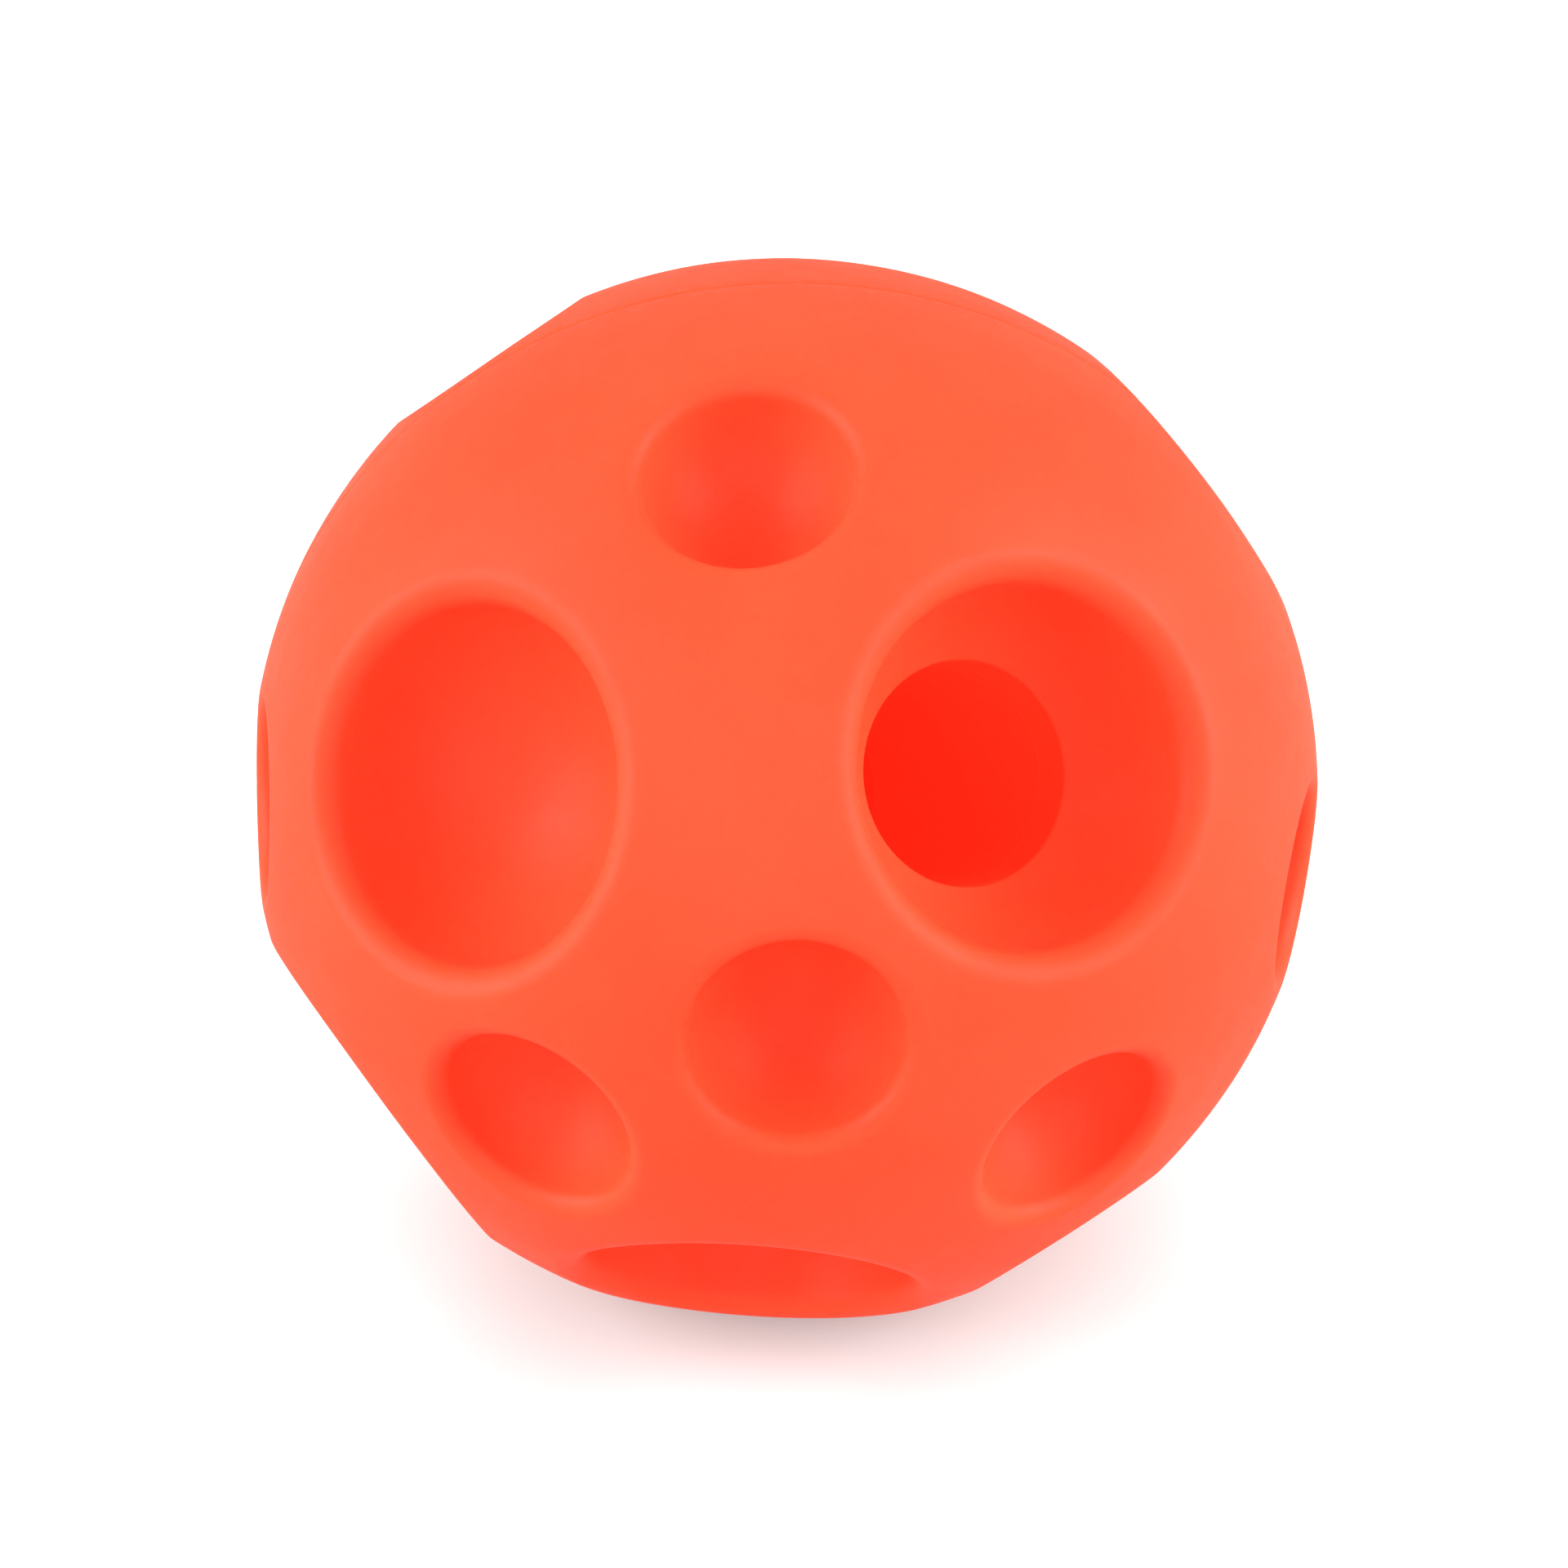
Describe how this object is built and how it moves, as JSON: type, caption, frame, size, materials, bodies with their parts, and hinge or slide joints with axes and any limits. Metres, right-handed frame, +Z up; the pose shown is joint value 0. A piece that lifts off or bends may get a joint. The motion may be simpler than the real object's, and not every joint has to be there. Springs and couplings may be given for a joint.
{
  "type": "treat dispensing ball",
  "caption": "Hollow soft ball with large and small round dimples; a tube behind its port lets kibble in and drops it out as the ball rolls.",
  "frame": {"origin": "on the surface the ball stands on, under the ball's centre", "axes": "+Z up; -Y is the middle of the front half shell, so the bond line is the XZ plane; the port faces 25 degrees from -Y towards +X and 29 degrees up"},
  "size_m": [0.1, 0.0982, 0.0969],
  "materials": {
    "vinyl_shell": "soft satin, orange-red vinyl",
    "vinyl_tube": "soft satin, deeper orange-red vinyl"
  },
  "bodies": {
    "root": {"front_shell": "vinyl_shell", "rear_shell": "vinyl_shell", "dispensing_tube": "vinyl_tube"}
  },
  "joints": []
}
